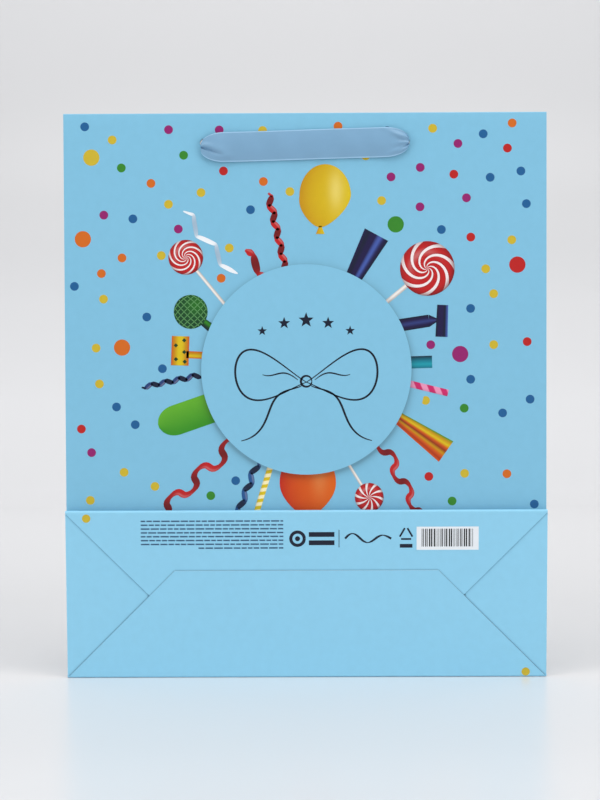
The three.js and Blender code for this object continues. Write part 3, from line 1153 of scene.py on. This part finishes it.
def satin_strip(name, rows, place, columns, start=0.0):
    """A ribbon mesh: the paper sheet's build, with the satin on every face and its run mapped in mm."""
    mesh = paper_mesh(name, rows, place, ribbon_sheet, columns)
    mesh.materials.clear()
    mesh.materials.append(satin)
    mesh.polygons.foreach_set("material_index", [0] * len(mesh.polygons))
    mesh.polygons.foreach_set("use_smooth", [True] * len(mesh.polygons))
    weave = mesh.uv_layers.new(name="weave")
    width = columns + 1
    length = 0.0
    lengths = [start]
    centres = [Vector(place((left + right) / 2, along, 0.0)) for left, right, along in rows]
    for before, after in zip(centres, centres[1:]):
        length += (after - before).length * 1000
        lengths.append(start + length)
    for loop in mesh.loops:
        spot = loop.vertex_index % (len(rows) * width)
        weave.data[loop.index].uv = (lengths[spot // width], 2 * (spot % width) / columns - 1)
    return mesh


def bell(value, middle, width):
    return math.exp(-((value - middle) / width) ** 2)


# ---------------------------------------------------------------- ribbon grips
# The stretch outside each panel lies flat between the holes. It's gathered into each hole, so
# its ends are round, with small folds that run out from the holes and fade.
grip_drop = 0.0006
grip_end = hole_offset + 0.0016


def grip_half(reach):
    """Half the ribbon's width at a distance from its end."""
    near = min(max(reach / 0.0115, 0.0), 1.0)
    return 0.0012 + (ribbon_half - 0.0012) * math.sqrt(1 - (1 - near) ** 2)


def grip_rise(x, s):
    """How far the ribbon stands off the panel, from its place along and across."""
    reach = grip_end - abs(x)
    near = math.exp(-((reach / 0.010) ** 2))
    arch = 0.0009 * (1 - s * s) * min(reach / 0.008, 1.0)
    if x < 0:
        # One deep fold runs from the hole to the lower middle, with a bump where it ends
        crease = -0.02 - reach * 50
        folds = -0.0011 * bell(s, crease, 0.13) * math.exp(-((reach / 0.0095) ** 4))
        folds += 0.0007 * bell(s, crease + 0.32, 0.26) * near
        folds += 0.0005 * bell(s, -0.62, 0.2) * bell(reach, 0.0118, 0.003)
    else:
        # Several short folds fan out from the hole
        folds = 0.00055 * math.cos(9.5 * s + 0.8) * math.exp(-((reach / 0.0055) ** 2))
        folds += 0.0006 * bell(s, 0.2 + reach * 60, 0.16) * near
        folds += 0.0004 * bell(s, -0.25 - reach * 55, 0.14) * near
    sag = 0.00012 * math.sin(x * 150 + 1.0) + 0.00008 * math.sin(x * 410 + s * 2.0)
    return max(grip_drop + 0.0009 * near + arch + folds + sag, grip_drop - 0.0001) + 0.0002


def make_grip(name, node, body, face_y, out):
    steps = 180
    route = [-grip_end * math.cos(math.pi * i / steps) for i in range(steps + 1)]
    rows = []
    for x in route:
        half = grip_half(grip_end - abs(x))
        rows.append((-half, half, x))

    def place(across, x, height):
        s = across / grip_half(grip_end - abs(x))
        tilt = 0.018 * x + 0.0003 * math.sin(x * 40)
        z = hole_height - 0.0012 + across + tilt
        return (x, face_y + out * (grip_rise(x, s) + height), z)

    mesh = satin_strip(name, rows, place, 40)
    finish_piece(name, mesh, body, node, slot="satin_ribbon")


make_grip("front_grip", "front_ribbon", "front_handle", front_face, -1)
make_grip("back_grip", "back_ribbon", "back_handle", back_face, 1)


# ---------------------------------------------------------------- ribbon legs
# Ribbon that comes out of a hole when a handle is pulled up, to reach from the hole to the grip.
# Here it's built at rest, lying folded small behind the grip, on no body.
leg_foot, leg_top = 0.2540, 0.2568
leg_pinch, leg_half = 0.0011, 0.0068
leg_steps = 90


def make_leg(name, side, face_y, out):
    rows = []
    for share in evenly(0.0, 1.0, leg_steps):
        spread_out = min(share / 0.3, 1.0)
        half = leg_pinch + (leg_half - leg_pinch) * math.sin(spread_out * math.pi / 2)
        centre = hole_offset - (half - leg_pinch) * 1.02
        rows.append((side * centre - half, side * centre + half, leg_foot + (leg_top - leg_foot) * share))

    def place(x, z, height):
        share = (z - leg_foot) / (leg_top - leg_foot)
        left, right = rows[min(max(round(share * leg_steps), 0), leg_steps)][:2]
        s = 2 * (x - left) / (right - left) - 1
        lift = 0.00006 + 0.00012 * (1 - s * s) + 0.00003 * math.cos(4 * s) * (1 - share)
        return (x, face_y + out * (lift + height * 0.6), z)

    mesh = satin_strip(name, rows, place, 16)
    leg = finish_piece(name, mesh, None, slot="satin_ribbon")
    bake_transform(leg)


for side, word in ((-1, "left"), (1, "right")):
    make_leg(f"front_leg_{word}", side, front_face, -1)
    make_leg(f"back_leg_{word}", side, back_face, 1)


# ---------------------------------------------------------------- ribbon tails and knots
# Each end of a ribbon goes through its hole and hangs down inside the hem, with an overhand knot
# at its foot. As the handle is pulled up a tail shortens and its knot climbs to the hole.
def overhand_knot(centre, across, down):
    """A soft knot: a flattened tube along a three-lobed curve, in the plane of the ribbon."""
    work = bmesh.new()
    steps, around = 150, 14
    wide, tall = 0.0017, 0.0013
    hoops = []
    for i in range(steps):
        t = 2 * math.pi * i / steps
        u = math.sin(t) + 2 * math.sin(2 * t)
        w = math.cos(t) - 2 * math.cos(2 * t)
        spot = centre + across * u * wide + down * w * tall
        spot.y -= 0.00042 * math.sin(3 * t)
        du, dw = math.cos(t) + 4 * math.cos(2 * t), -math.sin(t) + 4 * math.sin(2 * t)
        aside = (across * -dw * tall + down * du * wide).normalized()
        hoop = []
        for j in range(around):
            a = 2 * math.pi * j / around
            crease = 1 + 0.16 * math.cos(3 * a + 2 * t)
            point = spot + aside * 0.00155 * math.cos(a) * crease
            point.y += 0.00045 * math.sin(a) * crease
            hoop.append(work.verts.new(point))
        hoops.append(hoop)
    for i in range(steps):
        here, after = hoops[i], hoops[(i + 1) % steps]
        for j in range(around):
            k = (j + 1) % around
            face = work.faces.new((here[j], here[k], after[k], after[j]))
            face.smooth = True
    weave = work.loops.layers.uv.new("weave")
    for face in work.faces:
        for loop in face.loops:
            i, j = divmod(max(loop.vert.index, 0), around)
            loop[weave].uv = (i * 0.5, 0.8 * math.sin(2 * math.pi * j / around))
    bmesh.ops.recalc_face_normals(work, faces=work.faces)
    mesh = bpy.data.meshes.new("knot")
    work.to_mesh(mesh)
    work.free()
    mesh.materials.append(satin)
    return mesh


def join_meshes(name, first, second):
    work = bmesh.new()
    work.from_mesh(first)
    work.from_mesh(second)
    mesh = bpy.data.meshes.new(name)
    work.to_mesh(mesh)
    work.free()
    mesh.materials.append(satin)
    return mesh


tail_length = 0.112
tail_pinch, tail_half = 0.0013, 0.0072
knot_drop = 0.0047


def make_tail(half_name, word, side, body, face_y, inwards):
    node_low, node_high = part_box(f"{half_name}_ribbon_tail_{word}")
    knot_low, knot_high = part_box(f"{half_name}_knot_{word}")
    joint = joints[f"{half_name}_tail_{word}_slide"]
    climb = Vector(joint["axis"]).normalized()
    hole = Vector((side * hole_offset, 0.0, hole_height))
    across = Vector((climb.z, 0.0, -climb.x))
    strip_y = node_high.y - 0.00015 if half_name == "front" else node_low.y + 0.00015

    def half_at(along):
        out = min(max(along / 0.016, 0.0), 1.0)
        gather = min(max((tail_length - along) / 0.014, 0.0), 1.0)
        width = math.sin(out * math.pi / 2) * math.sin(gather * math.pi / 2)
        return tail_pinch + (tail_half - tail_pinch) * width

    def place(offset, along, height):
        s = offset / half_at(along)
        point = hole + across * offset - climb * max(along, 0.0)
        below_hem = min(max((along - 0.03) / 0.02, 0.0), 1.0)
        swing = 0.00006 + 0.0003 * below_hem
        y = strip_y + inwards * swing * math.sin(along * 130 + s * 1.2)
        # The pinched end goes out through the hole
        through = min(max(-along / 0.0018, 0.0), 1.0)
        y += (face_y - inwards * 0.0001 - y) * through
        return (point.x, y + (height - ribbon_sheet / 2), point.z)

    route = [-0.0018, -0.0012, -0.0006] + evenly(0.0, tail_length, 60)
    rows = [(-half_at(max(a, 0.0)), half_at(max(a, 0.0)), a) for a in route]
    mesh = satin_strip(f"{half_name}_tail_{word}", rows, place, 14)
    tail = finish_piece(
        f"{half_name}_tail_{word}", mesh, body, f"{half_name}_ribbon_tail_{word}", slot="satin_ribbon"
    )
    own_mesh(tail)

    knot_y = (knot_low.y + knot_high.y) / 2
    start = hole - climb * (tail_length + knot_drop)
    centre = Vector((start.x, knot_y, start.z))
    knot = overhand_knot(centre, across, climb * -1)

    def end_place(offset, along, height):
        point = centre + across * offset - climb * along
        y = knot_y + 0.0003 * math.sin(along * 260 + offset * 90)
        return (point.x, y + (height - ribbon_sheet / 2), point.z)

    rows = []
    for along in evenly(0.001, 0.0165, 20):
        half = 0.0018 + 0.0042 * math.sin(min((along - 0.001) / 0.011, 1.0) * math.pi / 2)
        rows.append((-half, half, along))

    def cut_place(offset, along, height):
        return end_place(offset, along + 0.18 * offset * min(along / 0.016, 1.0), height)

    loose = satin_strip("loose_end", rows, cut_place, 12, start=120.0)
    both = join_meshes(f"{half_name}_knot_{word}_mesh", knot, loose)
    soft_knot = finish_piece(
        f"{half_name}_knot_{word}_soft", both, f"{half_name}_tail_{word}", f"{half_name}_knot_{word}",
        slot="satin_ribbon",
    )
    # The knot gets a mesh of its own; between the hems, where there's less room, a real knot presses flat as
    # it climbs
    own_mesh(soft_knot)


for side, word in ((-1, "left"), (1, "right")):
    make_tail("front", word, side, "front", front_face, 1)
    make_tail("back", word, side, "back", back_face, -1)


# ---------------------------------------------------------------- light and table
# A pale half-gloss table that curves up into a backdrop, under a wide soft light from above
# with a weaker fill on each side. A fourth light falls on the backdrop only.
def make_table():
    material, nodes, links, shader = new_material("pale_table")
    shade = spread(nodes, links, add_noise(nodes, links, 3.0, 2.0), 0.985, 1.0)
    coordinates = nodes.new("ShaderNodeTexCoord")
    parts = nodes.new("ShaderNodeSeparateXYZ")
    links.new(coordinates.outputs["Object"], parts.inputs["Vector"])
    # Painted light and shade: the tone darkens a little behind the bag, where the pale top gives way to a
    # backdrop, and changes up the backdrop, which is lightest low down
    depth_and_height = nodes.new("ShaderNodeMath")
    depth_and_height.operation = "ADD"
    links.new(parts.outputs["Y"], depth_and_height.inputs[0])
    links.new(parts.outputs["Z"], depth_and_height.inputs[1])
    halved = nodes.new("ShaderNodeMath")
    halved.operation = "MULTIPLY"
    halved.inputs[1].default_value = 0.5
    links.new(depth_and_height.outputs["Value"], halved.inputs[0])
    colour = nodes.new("ShaderNodeValToRGB")
    painted_light_tones = [
        (0.006, 0.795), (0.018, 0.745), (0.13, 0.70), (0.24, 0.735), (0.49, 0.785),
        (0.64, 0.77), (0.75, 0.715), (0.85, 0.625), (0.95, 0.66),
    ]
    ramp = colour.color_ramp
    while len(ramp.elements) < len(painted_light_tones):
        ramp.elements.new(0.5)
    for element, (place, tone) in zip(ramp.elements, painted_light_tones):
        element.position = place
        element.color = (tone, tone, tone * 1.012, 1.0)
    links.new(halved.outputs["Value"], colour.inputs["Fac"])
    links.new(multiply_colour(nodes, links, colour.outputs["Color"], shade), shader.inputs["Base Color"])
    shader.inputs["Roughness"].default_value = 0.24
    shader.inputs["Specular IOR Level"].default_value = 0.24
    reach, depth, bend, height = 3.0, 0.9, 0.5, 2.6
    profile = [(-2.2, 0.0), (depth, 0.0)]
    profile += [
        (depth + bend * math.sin(a), bend * (1 - math.cos(a))) for a in evenly(0.0, math.pi / 2, 16)[1:]
    ]
    profile.append((depth + bend, height))
    work = bmesh.new()
    sides = [[work.verts.new((x, y, z)) for y, z in profile] for x in (-reach, reach)]
    for i in range(len(profile) - 1):
        face = work.faces.new((sides[0][i], sides[1][i], sides[1][i + 1], sides[0][i + 1]))
        face.smooth = True
    mesh = bpy.data.meshes.new("table")
    work.to_mesh(mesh)
    work.free()
    mesh.materials.append(material)
    table = bpy.data.objects.new("table", mesh)
    bpy.context.collection.objects.link(table)


def add_softbox(name, place, aim, size, power):
    light = bpy.data.lights.new(name, "AREA")
    light.shape = "RECTANGLE"
    light.size, light.size_y = size
    light.energy = power
    softbox = bpy.data.objects.new(name, light)
    bpy.context.collection.objects.link(softbox)
    softbox.location = place
    softbox.rotation_euler = (Vector(aim) - Vector(place)).to_track_quat("-Z", "Y").to_euler()


def make_world():
    world = bpy.data.worlds.new("studio")
    world.use_nodes = True
    world.node_tree.nodes["Background"].inputs["Color"].default_value = (0.95, 0.96, 0.985, 1.0)
    nodes, links = world.node_tree.nodes, world.node_tree.links
    # It lights the bag at 0.45, and looks as pale as the backdrop where it's seen past its edges
    seen = spread(nodes, links, nodes.new("ShaderNodeLightPath").outputs["Is Camera Ray"], 0.45, 0.76)
    links.new(seen, nodes["Background"].inputs["Strength"])
    bpy.context.scene.world = world


make_table()
make_world()
add_softbox("top_light", (0.0, -0.5, 1.5), (0.0, 0.1, 0.1), (1.4, 1.0), 12.5)
add_softbox("left_light", (-1.3, -0.9, 0.5), (0.0, 0.0, 0.10), (0.9, 0.9), 6.0)
add_softbox("right_light", (1.3, -0.9, 0.5), (0.0, 0.0, 0.10), (0.9, 0.9), 7.0)
add_softbox("back_light", (0.0, 0.55, 1.05), (0.0, 1.2, 0.05), (2.2, 0.4), 6.0)
bpy.context.scene.view_settings.view_transform = "Standard"
